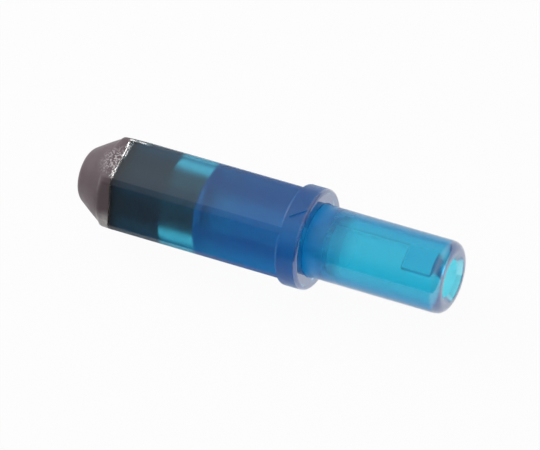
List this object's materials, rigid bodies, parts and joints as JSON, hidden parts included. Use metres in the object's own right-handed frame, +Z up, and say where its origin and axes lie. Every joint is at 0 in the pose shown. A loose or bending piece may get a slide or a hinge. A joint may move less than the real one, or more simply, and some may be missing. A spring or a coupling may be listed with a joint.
{
  "type": "butt connector",
  "caption": "Sealed single-wire butt connector half: translucent housing with hexagonal body, collar and keyed mating tube, and a tapered rubber wire seal.",
  "frame": {"origin": "on the axis, in the front face of the collar, where the mating tube starts", "axes": "+X along the axis towards the mating mouth, +Z up, square to the top flat of the hexagonal body"},
  "size_m": [0.0413, 0.0106, 0.0108],
  "materials": {
    "housing_plastic": "smooth moulded translucent blue plastic",
    "seal_rubber": "dull brown moulded rubber",
    "bond_adhesive": "clear cured adhesive with small bubbles"
  },
  "bodies": {
    "root": {"housing": "housing_plastic", "rear_seal": "seal_rubber", "bond_line": "bond_adhesive"}
  },
  "joints": []
}
